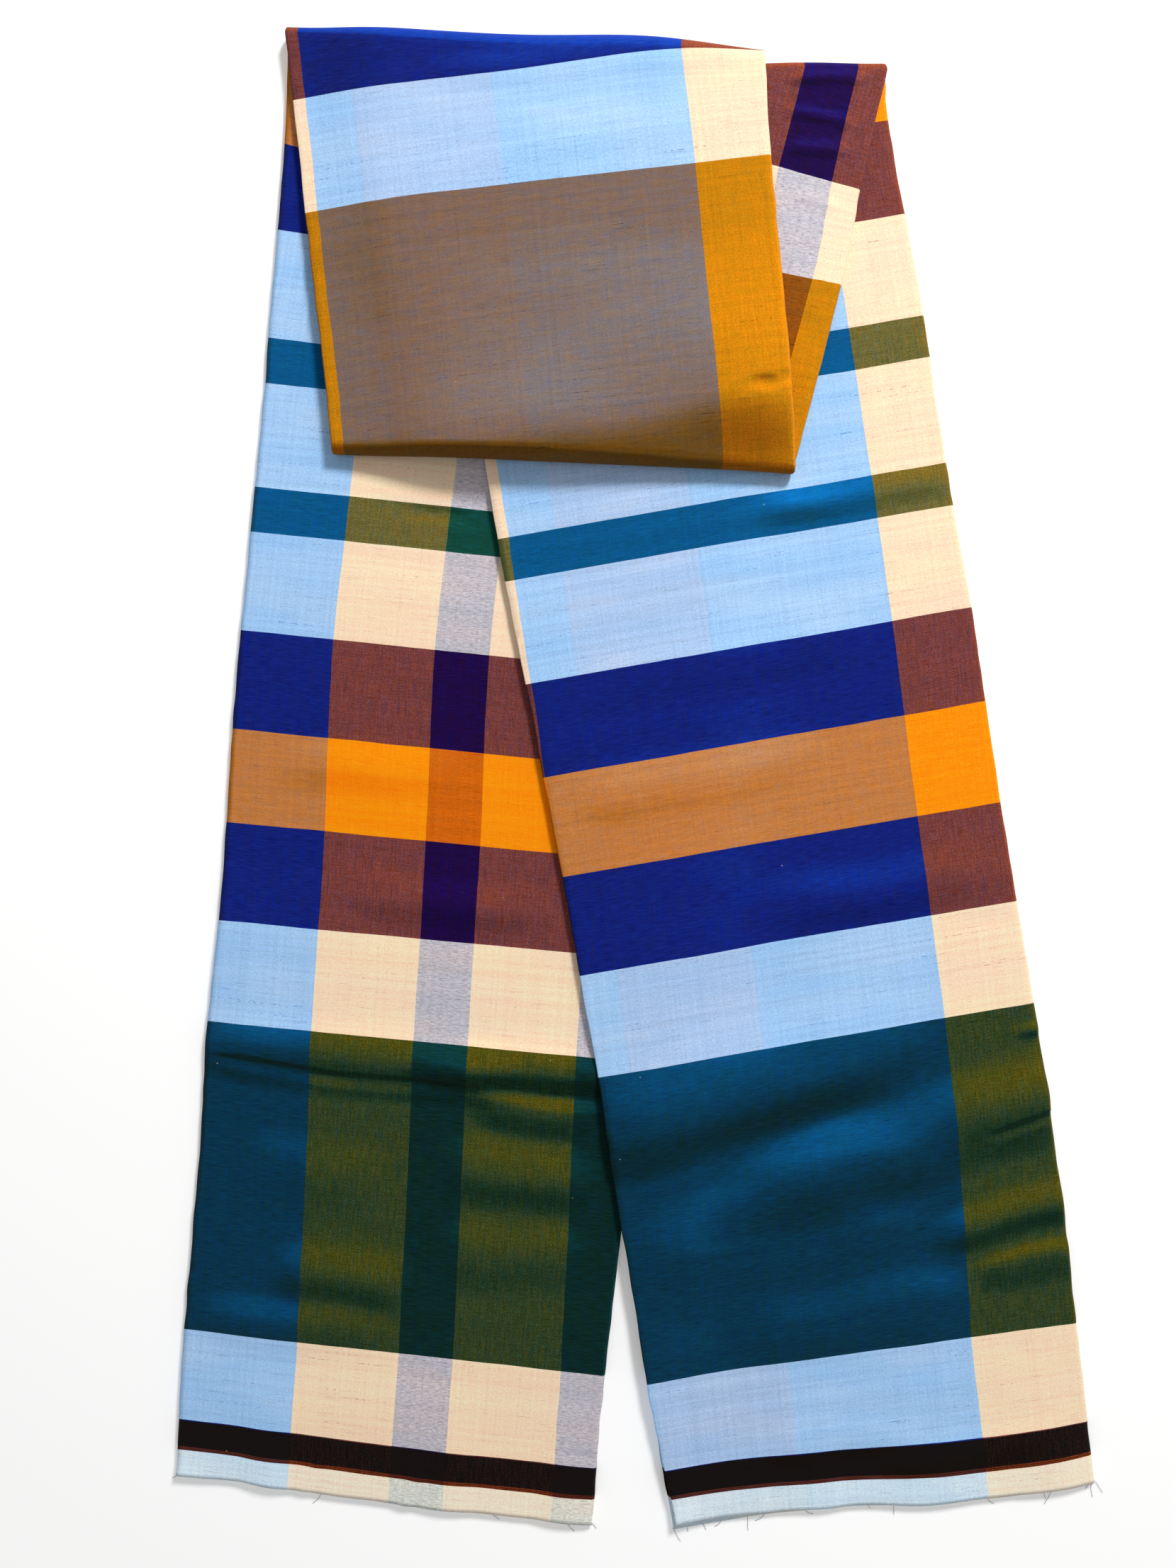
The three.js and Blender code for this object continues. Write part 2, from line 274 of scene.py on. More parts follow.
def woven_cotton():
    """The yarn-dyed check, charted in the cloth's own metres from its UV map."""
    material = bpy.data.materials.new("woven_cotton")
    material.use_nodes = True
    tree = material.node_tree
    tree.nodes.clear()
    n = Nodes(tree)
    spot = n.add("ShaderNodeUVMap", uv_map="cloth")
    across, along, _ = n.split(spot.outputs[0])

    # Where the spot is on the two charts, with the loom's unevenness in the edges of the stripes.
    half_cut = CUT_LENGTH / 2
    even_weft = n.math("ADD", along, n.streaks("weft edge", across, along))
    from_middle = n.math("ABSOLUTE", n.math("SUBTRACT", even_weft, half_cut))
    share_from_end = n.math("SUBTRACT", 1.0, n.math("DIVIDE", from_middle, half_cut))
    weft, shows, light = n.bands(share_from_end, WEFT_BANDS, half_cut)
    from_end = n.math("SUBTRACT", half_cut, from_middle)
    at_end = n.math("LESS_THAN", from_end, END_BANDS_LENGTH)
    end_share = n.math("DIVIDE", from_end, END_BANDS_LENGTH)
    end_weft, end_shows, end_light = n.bands(end_share, END_BANDS, END_BANDS_LENGTH)
    weft = n.mix(at_end, weft, end_weft)
    shows = n.mix(at_end, shows, end_shows)
    light = n.between(at_end, 0.0, 1.0, light, end_light)
    even_warp = n.math("ADD", across, n.streaks("warp edge", across, along))
    across_share = n.math("DIVIDE", even_warp, CUT_WIDTH)
    starts, warps = zip(*WARP_STRIPES)
    on_dark = n.tints(across_share, starts, [w.on_dark for w in warps], CUT_WIDTH)
    on_light = n.tints(across_share, starts, [w.on_light for w in warps], CUT_WIDTH)
    tint = n.vector("MULTIPLY", n.mix(light, on_dark, on_light), n.scaled(shows, 2.0))

    # The cloth is shot, and its play is painted light here: where it tilts to the window the warp
    # shows a painted glint, and where it tilts away the weft covers it in painted shade. It plays
    # less in a light weft, and where much warp shows anyway.
    normal = n.add("ShaderNodeNewGeometry").outputs["Normal"]
    tilt = n.vector("DOT_PRODUCT", normal, TOWARDS_WINDOW)
    dark = n.math("SUBTRACT", 1.0, light)
    strength = n.split(shows)[0]
    painted_glint_and_shade = n.product(
        n.between(tilt, -0.20, 0.20, -0.60, 0.66),
        n.between(dark, 0, 1, 0.20, 1.0),
        n.between(strength, 0.275, 0.525, 1.0, 0.40),
    )
    seen = n.vector("ADD", weft, n.scaled(tint, n.math("ADD", 1.0, painted_glint_and_shade)))

    # Orange warp shows as golden specks between dark wefts, and plum warp as dark ones between
    # pale wefts.
    orange = n.product(n.split(on_dark)[0], n.between(light, 0, 1, 2.8, 0.6))
    specks = n.math("ADD", n.streaks("short speck", across, along), n.streaks("long speck", across, along))
    seen = n.added(seen, GOLDEN_SPECK, n.product(specks, orange))
    plum = n.math("MULTIPLY", n.split(on_dark)[1], -11.0, clamp=True)
    seen = n.taken(seen, DARK_SPECK, n.product(n.streaks("dark speck", across, along), plum, light))

    # Painted light: tilted to the window, dark wefts over blue warp get a painted sheen, lighter and
    # bluer. Tilted away, all but the palest bands get painted shade, darker and less blue, the brown
    # ones most of all.
    hue_room = n.product(n.math("MULTIPLY", strength, 4.0, clamp=True), dark)
    blue = n.math("SUBTRACT", 1.0, n.math("MULTIPLY", n.split(tint)[0], 4.5), clamp=True)
    seen = n.added(seen, PAINTED_BLUE_SHEEN, n.product(n.between(tilt, 0.005, 0.16), hue_room, blue))
    shades = n.math("SUBTRACT", 1.0, n.product(light, light))
    brown = n.product(light, dark, 4.0)
    away = n.product(n.between(tilt, -0.02, -0.24), shades)
    seen = n.taken(seen, PAINTED_SHADE_LOSS, away)
    seen = n.taken(seen, PAINTED_BROWN_SHADE_LOSS, n.product(away, brown))
    seen = n.scaled(seen, n.between(away, 0, 1, 1.0, 0.87))

    # Blue warp yarns and golden weft yarns stand out singly in the dark bands.
    seen = n.added(seen, LONE_BLUE_WARP, n.product(n.streaks("lone warp", across, along), hue_room))
    seen = n.added(seen, LONE_GOLD_WEFT, n.product(n.streaks("lone weft", across, along), hue_room))

    # The warp isn't set quite evenly, so the brown bands are browner or bluer in soft patches, and
    # the pale ones paler or bluer in soft clouds.
    seen = n.added(seen, BROWNER, n.product(n.streaks("brown patch", across, along), brown))
    seen = n.added(seen, DEEPER_BLUE, n.product(n.streaks("blue cloud", across, along), light, light))

    # Slubs are short thick places in the weft, and long faint ones in the warp. Each yarn is also
    # a little lighter or darker than the next.
    slubs = n.math("ADD", n.streaks("weft slub", across, along), n.streaks("warp slub", across, along))
    weft_shade = n.streaks("weft shade", across, along)
    warp_shade = n.streaks("warp shade", across, along)
    grain = n.streaks("grain", across, along)
    seen = n.scaled(seen, n.product(weft_shade, warp_shade, n.math("SUBTRACT", 1.0, slubs), grain))

    # Here and there the weft lies open, and dark warp shows between its yarns as a row of dots.
    dots = n.product(n.streaks("open weft", across, along), n.streaks("open dots", across, along))
    seen = n.taken(seen, OPEN_WEFT_LOSS, n.product(dots, n.between(light, 0, 1, 0.10, 0.30)))

    # Lint: pale flecks caught in the weave, in about a fifth of the cells.
    cells = n.add("ShaderNodeTexVoronoi", {"Vector": spot.outputs[0], "Scale": 55.0}, feature="F1")
    near = n.math("LESS_THAN", cells.outputs["Distance"], 0.028)
    chance = n.add("ShaderNodeSeparateColor", {0: cells.outputs["Color"]}).outputs[0]
    chosen = n.math("GREATER_THAN", chance, 0.82)
    flecked = n.mix(n.product(near, chosen, 0.55), seen, LINT)
    safe = n.vector("MINIMUM", n.vector("MAXIMUM", flecked, (BLACKEST,) * 3), (PALEST,) * 3)
    colour = n.add("ShaderNodeGamma", {"Color": safe, "Gamma": SCREEN_GAMMA}).outputs[0]

    # The weave: one yarn over, one under, and the thicker wefts standing a little proud.
    to_turns = 2 * math.pi / YARN_PAIR
    over = n.math("SINE", n.math("MULTIPLY", across, to_turns))
    under = n.math("SINE", n.math("MULTIPLY", along, to_turns))
    relief = n.math("ADD", n.product(over, under, 0.5), n.product(weft_shade, 8.0))
    bump = n.add("ShaderNodeBump", {"Height": relief, "Strength": 0.5, "Distance": 0.00012})
    shader = n.add(
        "ShaderNodeBsdfPrincipled",
        {
            "Base Color": colour,
            "Roughness": 0.88,
            "Specular IOR Level": 0.08,
            "Sheen Weight": 0.06,
            "Sheen Roughness": 0.45,
            "Normal": bump.outputs[0],
        },
    )
    n.add("ShaderNodeOutputMaterial", {"Surface": shader.outputs[0]})
    return material


cotton = woven_cotton()

# The left leg
# The band starts at this raw end. Four layers deep, its outer layer wraps round the right edge
# and turns in at the left. It is only laid flat: a long crosswise crease lies above its raw end,
# and softer ones below that.
WALL = 0.0010
SEAM = 0.0003
REST = 0.0008
BAND = 4 * WALL + 3 * SEAM
HALF = BAND / 2
PITCH = BAND + REST
OUTER_DEPTH = HALF - CLOTH_THICKNESS / 2
LAYER_STEP = 2 * OUTER_DEPTH / 3
TURNED_IN = 0.016
SELVEDGE_INSET = 0.0008

# Where a stretch leaves the one beneath it, it comes down this far out and over this length.
FALL_START = 0.006
FALL_LENGTH = 0.090

# A line across the band: how far along the cloth its left and right ends are, the two ends'
# places, how far across the cloth its right-hand and left-hand folds are, and the lines of mesh
# up to the next row.
Row = namedtuple("Row", "along_left along_right left right wrap turn lines")
LEFT_LEG = [
    Row(0.0000, 0.0000, (-0.303, -0.458), (-0.029, -0.490), 0.280, 0.556, 38),
    Row(0.1005, 0.1005, (-0.298, -0.362), (-0.020, -0.393), 0.282, 0.562, 34),
    Row(0.2000, 0.2000, (-0.289, -0.262), (-0.009, -0.293), 0.288, 0.570, 96),
    Row(0.3070, 0.3070, (-0.282, -0.157), (0.002, -0.184), 0.294, 0.579, 26),
    Row(0.4365, 0.4365, (-0.270, -0.028), (0.014, -0.055), 0.298, 0.583, 26),
    Row(0.5655, 0.5655, (-0.261, 0.101), (0.024, 0.072), 0.302, 0.589, 44),
    Row(0.7285, 0.7285, (-0.245, 0.261), (0.046, 0.231), 0.306, 0.598, 26),
    Row(0.8920, 0.9165, (-0.232, 0.420), (0.071, 0.390), 0.306, 0.608, 14),
]
TOP_LEFT_FOLD = Row(0.9655, 1.0170, (-0.2295, 0.4955), (0.084, 0.4775), 0.305, 0.6105, 26)
FRONT_FLAP = [Row(1.0935, 1.0935, (-0.216, 0.373), (0.088, 0.407), 0.309, 0.6105, 56)]
BOTTOM_FOLD = Row(1.2500, 1.2920, (-0.1985, 0.216), (0.1035, 0.2025), 0.311, 0.6105, 26)
UNDER_FLAP = [
    Row(1.3900, 1.4065, (-0.168, 0.352), (0.135, 0.327), 0.3085, 0.6100, 20),
    Row(1.4500, 1.4785, (-0.1515, 0.430), (0.148, 0.393), 0.3085, 0.6105, 22),
]
TOP_RIGHT_FOLD = Row(1.4800, 1.5425, (-0.144, 0.462), (0.1655, 0.4745), 0.3085, 0.6110, 14)
RIGHT_LEG = [
    Row(1.6080, 1.6080, (-0.130, 0.385), (0.168, 0.437), 0.309, 0.6115, 12),
    Row(1.6725, 1.6725, (-0.119, 0.320), (0.179, 0.374), 0.309, 0.6118, 14),
    Row(1.7405, 1.7405, (-0.106, 0.254), (0.191, 0.307), 0.308, 0.6100, 20),
    Row(1.8385, 1.8385, (-0.090, 0.158), (0.207, 0.210), 0.307, 0.6095, 20),
    Row(1.9345, 1.9345, (-0.072, 0.064), (0.223, 0.116), 0.304, 0.6060, 24),
    Row(2.0635, 2.0635, (-0.048, -0.064), (0.242, -0.015), 0.302, 0.6005, 26),
    Row(2.1930, 2.1930, (-0.025, -0.193), (0.264, -0.145), 0.298, 0.5915, 60),
    Row(2.3000, 2.3000, (-0.009, -0.294), (0.280, -0.255), 0.293, 0.5850, 50),
    Row(2.3995, 2.3995, (0.008, -0.396), (0.292, -0.358), 0.288, 0.5750, 40),
    Row(2.5000, 2.5000, (0.026, -0.487), (0.303, -0.460), 0.288, 0.5660, 0),
]
OUTLINES = {
    "left_leg": [*LEFT_LEG, TOP_LEFT_FOLD],
    "front_flap": [TOP_LEFT_FOLD, *FRONT_FLAP, BOTTOM_FOLD],
    "under_flap": [BOTTOM_FOLD, *UNDER_FLAP, TOP_RIGHT_FOLD],
    "right_leg": [TOP_RIGHT_FOLD, *RIGHT_LEG],
}

# Which way the layers run: -1 where the face that starts on top is up, 1 where it is down.
UP_FACE = {"left_leg": -1, "front_flap": 1, "under_flap": -1, "right_leg": 1}

# A crease: where it runs, from left to right, how wide its slopes above and below are, and its
# rise, which is a trough where it is negative. It is fullest in the top layer.
Crease = namedtuple("Crease", "start end above below rise")
CREASES = {
    "left_leg": [
        Crease((-0.312, -0.1695), (-0.058, -0.1985), 0.030, 0.026, 0.0044),
        Crease((-0.160, -0.1875), (0.024, -0.1925), 0.026, 0.018, 0.0036),
        Crease((-0.286, -0.1775), (-0.182, -0.1950), 0.0026, 0.0100, -0.0012),
        Crease((-0.226, -0.1905), (-0.094, -0.2015), 0.0026, 0.0100, -0.0013),
        Crease((-0.118, -0.208), (-0.016, -0.219), 0.012, 0.022, 0.0024),
        Crease((-0.140, -0.256), (-0.018, -0.266), 0.032, 0.024, 0.0026),
        Crease((-0.272, -0.246), (-0.150, -0.262), 0.030, 0.040, 0.0012),
        Crease((-0.140, -0.305), (-0.024, -0.314), 0.026, 0.034, 0.0020),
        Crease((-0.250, -0.320), (-0.140, -0.333), 0.026, 0.022, 0.0018),
        Crease((-0.300, -0.352), (-0.150, -0.364), 0.022, 0.024, 0.0013),
        Crease((-0.050, -0.441), (-0.022, -0.447), 0.004, 0.003, -0.0010),
        Crease((-0.180, 0.196), (-0.104, 0.182), 0.005, 0.004, 0.0012),
        Crease((-0.160, 0.182), (-0.098, 0.171), 0.004, 0.003, -0.0007),
        Crease((-0.250, 0.014), (-0.100, 0.004), 0.024, 0.022, 0.0010),
        Crease((-0.210, -0.066), (-0.040, -0.090), 0.022, 0.020, 0.0012),
        Crease((-0.225, -0.478), (-0.205, -0.440), 0.008, 0.008, 0.0010),
        Crease((-0.160, -0.486), (-0.140, -0.450), 0.009, 0.007, 0.0011),
    ],
}


def smooth_fall(distance):
    t = min(max((distance - FALL_START) / FALL_LENGTH, 0.0), 1.0)
    return 1 - 2 * t * t if t < 0.5 else 2 * (1 - t) ** 2


def edge_x(stretch, side, y):
    """The X of a stretch's edge at a given Y."""
    ends = sorted((getattr(row, side)[1], getattr(row, side)[0]) for row in OUTLINES[stretch])
    i = min(max(bisect.bisect([e[0] for e in ends], y) - 1, 0), len(ends) - 2)
    (y0, x0), (y1, x1) = ends[i], ends[i + 1]
    return x0 + (x1 - x0) * (y - y0) / (y1 - y0)


def middle_height(stretch, x, y):
    """The height of a stretch's middle, which is lifted by whatever stretches lie beneath it."""
    if stretch == "left_leg":
        return HALF
    beneath = smooth_fall(x - edge_x("left_leg", "right", y))
    if stretch != "right_leg":
        beneath += smooth_fall(edge_x("right_leg", "left", y) - x)
    if stretch == "front_flap":
        beneath += smooth_fall(edge_x("under_flap", "left", y) - x)
    return HALF + PITCH * beneath


# How far a crease wanders, how much its rise swells, the share of its length over which it fades
# out, and how broad it is where it wanders fully.
CREASE_WANDER = 0.0050
CREASE_SWELL = 0.5
CREASE_FADE = 0.3
BROAD_CREASE = 0.03


def crease_height(stretch, x, y):
    """The height that the creases add. None of them runs quite straight or even, and each fades
    out at both ends. The fold at the end of a sheet lies clear of the next stretch's creases,
    which are listed later."""
    wander = CREASE_WANDER * noise.noise(Vector((x * 17, y * 17, 1.5)))
    swell = 1.0 + CREASE_SWELL * noise.noise(Vector((x * 13, y * 13, 6.5)))
    height = 0.0
    for crease in CREASES.get(stretch, []):
        along = Vector(crease.end) - Vector(crease.start)
        length = along.length
        from_start = Vector((x, y)) - Vector(crease.start)
        travelled = from_start.dot(along) / length
        broad = min(1.0, (crease.above + crease.below) / BROAD_CREASE)
        aside = (along.x * from_start.y - along.y * from_start.x) / length + wander * broad
        fade = CREASE_FADE * length
        beyond = max(0.0, fade - travelled, travelled - (length - fade)) / fade
        away = math.hypot(aside / (crease.above if aside > 0 else crease.below), beyond)
        if away < 1:
            height += crease.rise * swell * 0.5 * (1 + math.cos(math.pi * away))
    return height


# How high the ripples are, what share of that the lowest layer has, how far a folded edge sways,
# and the share of the width over which that dies away.
BROAD_RIPPLE = 0.00070
FINE_RIPPLE = 0.00016
RIPPLE_BENEATH = 0.25
BROAD_SWAY = 0.0011
FINE_SWAY = 0.0005
EDGE_SHARE = 0.2


def ripple(x, y, seed):
    """The slight unevenness of cloth smoothed by hand."""
    broad = noise.noise(Vector((x * 9, y * 12, seed)))
    fine = noise.noise(Vector((x * 24, y * 42, seed + 7)))
    return BROAD_RIPPLE * broad + FINE_RIPPLE * fine


def edge_sway(along, side):
    """The small wander of a folded edge, outwards or in."""
    broad = noise.noise(Vector((along * 11, side * 3.0, 2.5)))
    fine = noise.noise(Vector((along * 70, side * 5.0, 8.5)))
    return BROAD_SWAY * broad + FINE_SWAY * fine


# A point of a line: how far across the band, how deep in it and how far across the cloth it is.
Point = namedtuple("Point", "across depth cloth")
QUARTER_TURN = math.pi / 2

# The spacing of a line's points, where they show and where they don't.
FINE = 0.0036
COARSE = 0.012


def spread(start, end, spacing):
    count = max(2, round(abs(end - start) / spacing))
    return [start + (end - start) * i / count for i in range(count)]


def arc(centre, depth, radius, start, end, steps, cloth):
    """Points round a fold, from one angle to another. cloth is how far across the cloth it starts."""
    points = []
    for i in range(steps + 1):
        angle = start + (end - start) * i / steps
        place = (centre + radius * math.cos(angle), depth + radius * math.sin(angle))
        points.append(Point(*place, cloth + radius * abs(angle - start)))
    return points


def outer_layers(line, up):
    """The layer that shows, as points from its left edge over the top, round the right-hand
    fold, back along the other side and in at the left. They are finer on the side that is up."""
    right = line.width - HALF
    start = line.wrap - OUTER_DEPTH * QUARTER_TURN
    first_spacing, second_spacing = (FINE, COARSE) if up < 0 else (COARSE, FINE)
    points = [Point(a, -OUTER_DEPTH, start - (right - a)) for a in spread(0.0, right, first_spacing)]
    points += arc(right, 0.0, OUTER_DEPTH, -QUARTER_TURN, QUARTER_TURN, 8, start)
    turn = LAYER_STEP / 2
    turn_start = line.turn - turn * QUARTER_TURN
    turn_end = line.turn + turn * QUARTER_TURN
    back = line.wrap + OUTER_DEPTH * QUARTER_TURN
    give = (turn_start - back) / (right - turn)
    for a in spread(right, turn, second_spacing)[1:]:
        points.append(Point(a, OUTER_DEPTH, back + (right - a) * give))
    points += arc(turn, OUTER_DEPTH - turn, turn, QUARTER_TURN, 3 * QUARTER_TURN, 5, turn_start)
    for a in (0.006, TURNED_IN):
        points.append(Point(a, OUTER_DEPTH - LAYER_STEP, turn_end + a - turn))
    return points


def inner_layers(line, _up):
    """The two layers inside, from where the outer one turned in, round the inner fold and back."""
    right = line.width - HALF
    turn = LAYER_STEP / 2
    places = [TURNED_IN + SEAM, *spread(TURNED_IN + 0.004, right, COARSE)]
    points = [Point(a, turn, line.turn + a) for a in places]
    points += arc(right, 0.0, turn, QUARTER_TURN, -QUARTER_TURN, 5, line.turn + right)
    back = line.turn + right + turn * 2 * QUARTER_TURN
    points += [Point(a, -turn, back + right - a) for a in spread(right, 0.0, COARSE)[1:]]
    points.append(Point(SELVEDGE_INSET, -turn, back + right))
    return points


# A crosswise fold: its line, the stretches before and after it, which face goes round the outside,
# which side of the line is out, whether the band goes up or down in it, and how far its crest
# bulges at its left end and about three quarters across.
Fold = namedtuple("Fold", "row before after outer side climb bow")
BULGE_PLACE = 0.76
BULGE_SPREAD = 0.2
FOLDS = {
    "top_left": Fold(TOP_LEFT_FOLD, "left_leg", "front_flap", 1, 1, 1, (0.0030, 0.0056)),
}


def fold_place(fold, share):
    """At a share of the way across a crosswise fold: its crest, which way is out, its radius and
    the height of its middle."""
    left, right = Vector(fold.row.left), Vector(fold.row.right)
    crest = left.lerp(right, share)
    line = (right - left).normalized()
    outward = Vector((-line.y, line.x)) * fold.side
    at_left, at_bulge = fold.bow
    bulge = math.exp(-(((share - BULGE_PLACE) / BULGE_SPREAD) ** 2))
    crest += outward * (at_left * (1 - share) + at_bulge * bulge)
    reach = PITCH
    for _ in range(3):
        inside = crest - outward * reach
        low = middle_height(fold.before, *inside)
        high = middle_height(fold.after, *inside)
        radius = abs(high - low) / 2
        reach = radius + HALF
    return crest, outward, radius, (low + high) / 2


def fold_start(fold, share):
    """Where the flat cloth meets a crosswise fold."""
    crest, outward, radius, _ = fold_place(fold, share)
    return crest - outward * (radius + HALF)


def moved_along(row, distance):
    """The same line across the band, for a place this much further along the cloth."""
    return row._replace(along_left=row.along_left + distance, along_right=row.along_right + distance)


def half_bend(fold):
    """The length of cloth in half of a crosswise fold."""
    return QUARTER_TURN * (fold_place(fold, 0.5)[2] + OUTER_DEPTH)


def spline(before, a, b, after, t):
    """A smooth curve from a to b, which allows for the points on either side of them."""
    start_pull = (b - before) / 2
    end_pull = (after - a) / 2
    t2, t3 = t * t, t * t * t
    return (
        a * (2 * t3 - 3 * t2 + 1)
        + start_pull * (t3 - 2 * t2 + t)
        + b * (3 * t2 - 2 * t3)
        + end_pull * (t3 - t2)
    )


class Line:
    """One line of the mesh across the band. hold is how fully it follows its stretch's creases,
    which die away round a crosswise fold."""

    def __init__(self, stretch, place, row, after=None, t=0.0, hold=1.0):
        after = after or row
        self.stretch = stretch
        self.place = place
        self.hold = hold
        width, next_width = ((Vector(r.right) - Vector(r.left)).length for r in (row, after))
        self.width = width + (next_width - width) * t
        self.wrap = row.wrap + (after.wrap - row.wrap) * t
        self.turn = row.turn + (after.turn - row.turn) * t
        self.along_left = row.along_left + (after.along_left - row.along_left) * t
        self.along_right = row.along_right + (after.along_right - row.along_right) * t

    def along(self, share):
        return self.along_left + (self.along_right - self.along_left) * share


def flat_lines(stretch, first_fold=None, last_fold=None, finer=1.0):
    """The lines of a flat stretch, smooth through its rows, from fold to fold or raw end."""
    rows = list(OUTLINES[stretch])
    folds = {0: first_fold, len(rows) - 1: last_fold}
    if first_fold:
        rows[0] = moved_along(rows[0], half_bend(FOLDS[first_fold]))
    if last_fold:
        rows[-1] = moved_along(rows[-1], -half_bend(FOLDS[last_fold]))

    def control(index, share):
        if index < 0:
            return control(0, share) * 2 - control(1, share)
        if index > len(rows) - 1:
            return control(len(rows) - 1, share) * 2 - control(len(rows) - 2, share)
        if folds.get(index):
            return fold_start(FOLDS[folds[index]], share)
        return Vector(rows[index].left).lerp(Vector(rows[index].right), share)

    lines = []
    for i, row in enumerate(rows[:-1]):
        after = rows[i + 1]
        steps = max(3, round(row.lines * finer))
        last = i == len(rows) - 2
        for k in range(steps + (1 if last else 0)):
            t = k / steps

            def place(share, depth, i=i, t=t):
                guides = [control(j, share) for j in (i - 1, i, i + 1, i + 2)]
                spot = spline(*guides, t)
                height = middle_height(stretch, *spot)
                return Vector((*spot, height + UP_FACE[stretch] * depth))

            lines.append(Line(stretch, place, row, after, t))
    return lines


def fold_lines(name, steps=14):
    """The lines round a crosswise fold, not counting the flat lines that it joins."""
    fold = FOLDS[name]
    lines = []
    for i in range(1, steps):
        turn = math.pi * i / steps

        def place(share, depth, turn=turn):
            crest, outward, radius, height = fold_place(fold, share)
            reach = radius + fold.outer * depth
            spot = crest + outward * (reach * math.sin(turn) - radius - HALF)
            return Vector((*spot, height - fold.climb * reach * math.cos(turn)))

        stretch = fold.before if turn < QUARTER_TURN else fold.after
        row = moved_along(fold.row, half_bend(fold) * (2 * turn / math.pi - 1))
        lines.append(Line(stretch, place, row, hold=math.cos(turn) ** 2))
    return lines


def cloth_mesh(name, lines, layers, finish_line=None):
    """A sheet through the lines, with its UV map in metres of the unfolded cloth."""
    rows = [layers(line, UP_FACE.get(name, 1)) for line in lines]
    count = min(len(row) for row in rows)
    vertices, cloth_spots = [], []
    for line, row in zip(lines, rows):
        for i in range(count):
            point = row[round(i * (len(row) - 1) / (count - 1))]
            share = point.across / line.width
            along = line.along(share)
            sway = edge_sway(along, 0) * max(0.0, 1 - share / EDGE_SHARE)
            sway -= edge_sway(along, 1) * max(0.0, 1 - (1 - share) / EDGE_SHARE)
            spot = line.place(share - sway / line.width, point.depth)
            follow = (1 + UP_FACE[line.stretch] * point.depth / OUTER_DEPTH) / 2
            spot.z += crease_height(line.stretch, spot.x, spot.y) * follow * line.hold
            rippled = (RIPPLE_BENEATH + (1 - RIPPLE_BENEATH) * follow) * line.hold
            spot.z += ripple(spot.x, spot.y, 1.2 * follow) * rippled
            spot.z = max(spot.z, CLOTH_THICKNESS / 2)
            if finish_line:
                spot = finish_line(spot, share, point, along)
            vertices.append(spot)
            cloth_spots.append((point.cloth, along))
    faces = []
    for r in range(len(rows) - 1):
        for i in range(count - 1):
            a = r * count + i
            faces.append((a, a + 1, a + count + 1, a + count))
    mesh = bpy.data.meshes.new(name)
    mesh.from_pydata(vertices, [], faces)
    mesh["points_across"] = count
    chart = mesh.uv_layers.new(name="cloth")
    for loop in mesh.loops:
        chart.data[loop.index].uv = cloth_spots[loop.vertex_index]
    mesh.polygons.foreach_set("use_smooth", [True] * len(mesh.polygons))
    mesh.materials.append(cotton)
    mesh.update()
    return mesh


def lay_cloth(name, mesh):
    """Puts a sheet in the scene, gives it its thickness and lets it ride on the part's one body."""
    piece = bpy.data.objects.new(name, mesh)
    bpy.context.scene.collection.objects.link(piece)
    thickness = piece.modifiers.new("cloth thickness", "SOLIDIFY")
    thickness.thickness = CLOTH_THICKNESS
    thickness.offset = 0.0
    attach(piece, "root")
    return piece


# A raw end: where it is on the cloth, which way is out, which way the layers run, the places and
# sizes of its bows, how uneven the cut is, how far its layers end apart, how high it ripples, and
# how far its lower layers have slipped to the left at the left corner.
RawEnd = namedtuple("RawEnd", "along outward up bow uneven ragged rise slip")
LEFT_END = RawEnd(
    along=0.0,
    outward=Vector((-0.09, -0.995, 0)),
    up=-1,
    bow=[(0.60, 0.0008), (0.20, -0.0010), (0.02, -0.0020)],
    uneven=0.0009,
    ragged=lambda share: 0.4,
    rise=0.0030,
    slip=0.0,
)

# How far in from the cut its bow and ripples reach, and how far its unevenness does, the share of
# the width that a bow spreads over, how far apart the layers end, how high the left corner lifts,
# and the shares of the width over which that lift and the slip die away.
END_REACH = 0.090
CUT_REACH = 0.012
BOW_SPREAD = 0.16
LAYER_OFFSET = 0.0055
CORNER_LIFT = 0.0016
CORNER_SHARE = 0.10
SLIP_SHARE = 0.04


def shape_end(end, spot, share, point, along):
    """Shapes the last few centimetres of a raw end: its bow, its ripples and its ragged layers."""
    near = max(0.0, 1 - abs(along - end.along) / END_REACH)
    if near == 0:
        return spot
    ease = near * near * (3 - 2 * near)
    at_the_cut = max(0.0, 1 - abs(along - end.along) / CUT_REACH)
    beneath = (1 - end.up * point.depth / OUTER_DEPTH) / 2
    out = ease * sum(size * math.exp(-(((share - at) / BOW_SPREAD) ** 2)) for at, size in end.bow)
    out += end.uneven * noise.noise(Vector((share * 9, beneath * 4, end.along))) * at_the_cut
    out += LAYER_OFFSET * beneath * end.ragged(share) * at_the_cut
    moved = spot + end.outward * out
    wave = noise.noise(Vector((share * 7, beneath * 0.7, 4 + end.along)))
    moved.z += max(0.0, end.rise * wave) * ease * (1 - 0.8 * beneath)
    corner = max(0.0, 1 - share / CORNER_SHARE) * at_the_cut
    moved.z += CORNER_LIFT * corner * (1 - beneath)
    if point.depth < 0:
        moved.x -= end.slip * ease * max(0.0, 1 - share / SLIP_SHARE)
    return moved


def left_end(spot, share, point, along):
    return shape_end(LEFT_END, spot, share, point, along)


def thread_finish(name, colour):
    finish = bpy.data.materials.new(name)
    finish.use_nodes = True
    shader = finish.node_tree.nodes["Principled BSDF"]
    shader.inputs["Base Color"].default_value = (*colour, 1)
    shader.inputs["Roughness"].default_value = 0.9
    shader.inputs["Specular IOR Level"].default_value = 0.1
    return finish


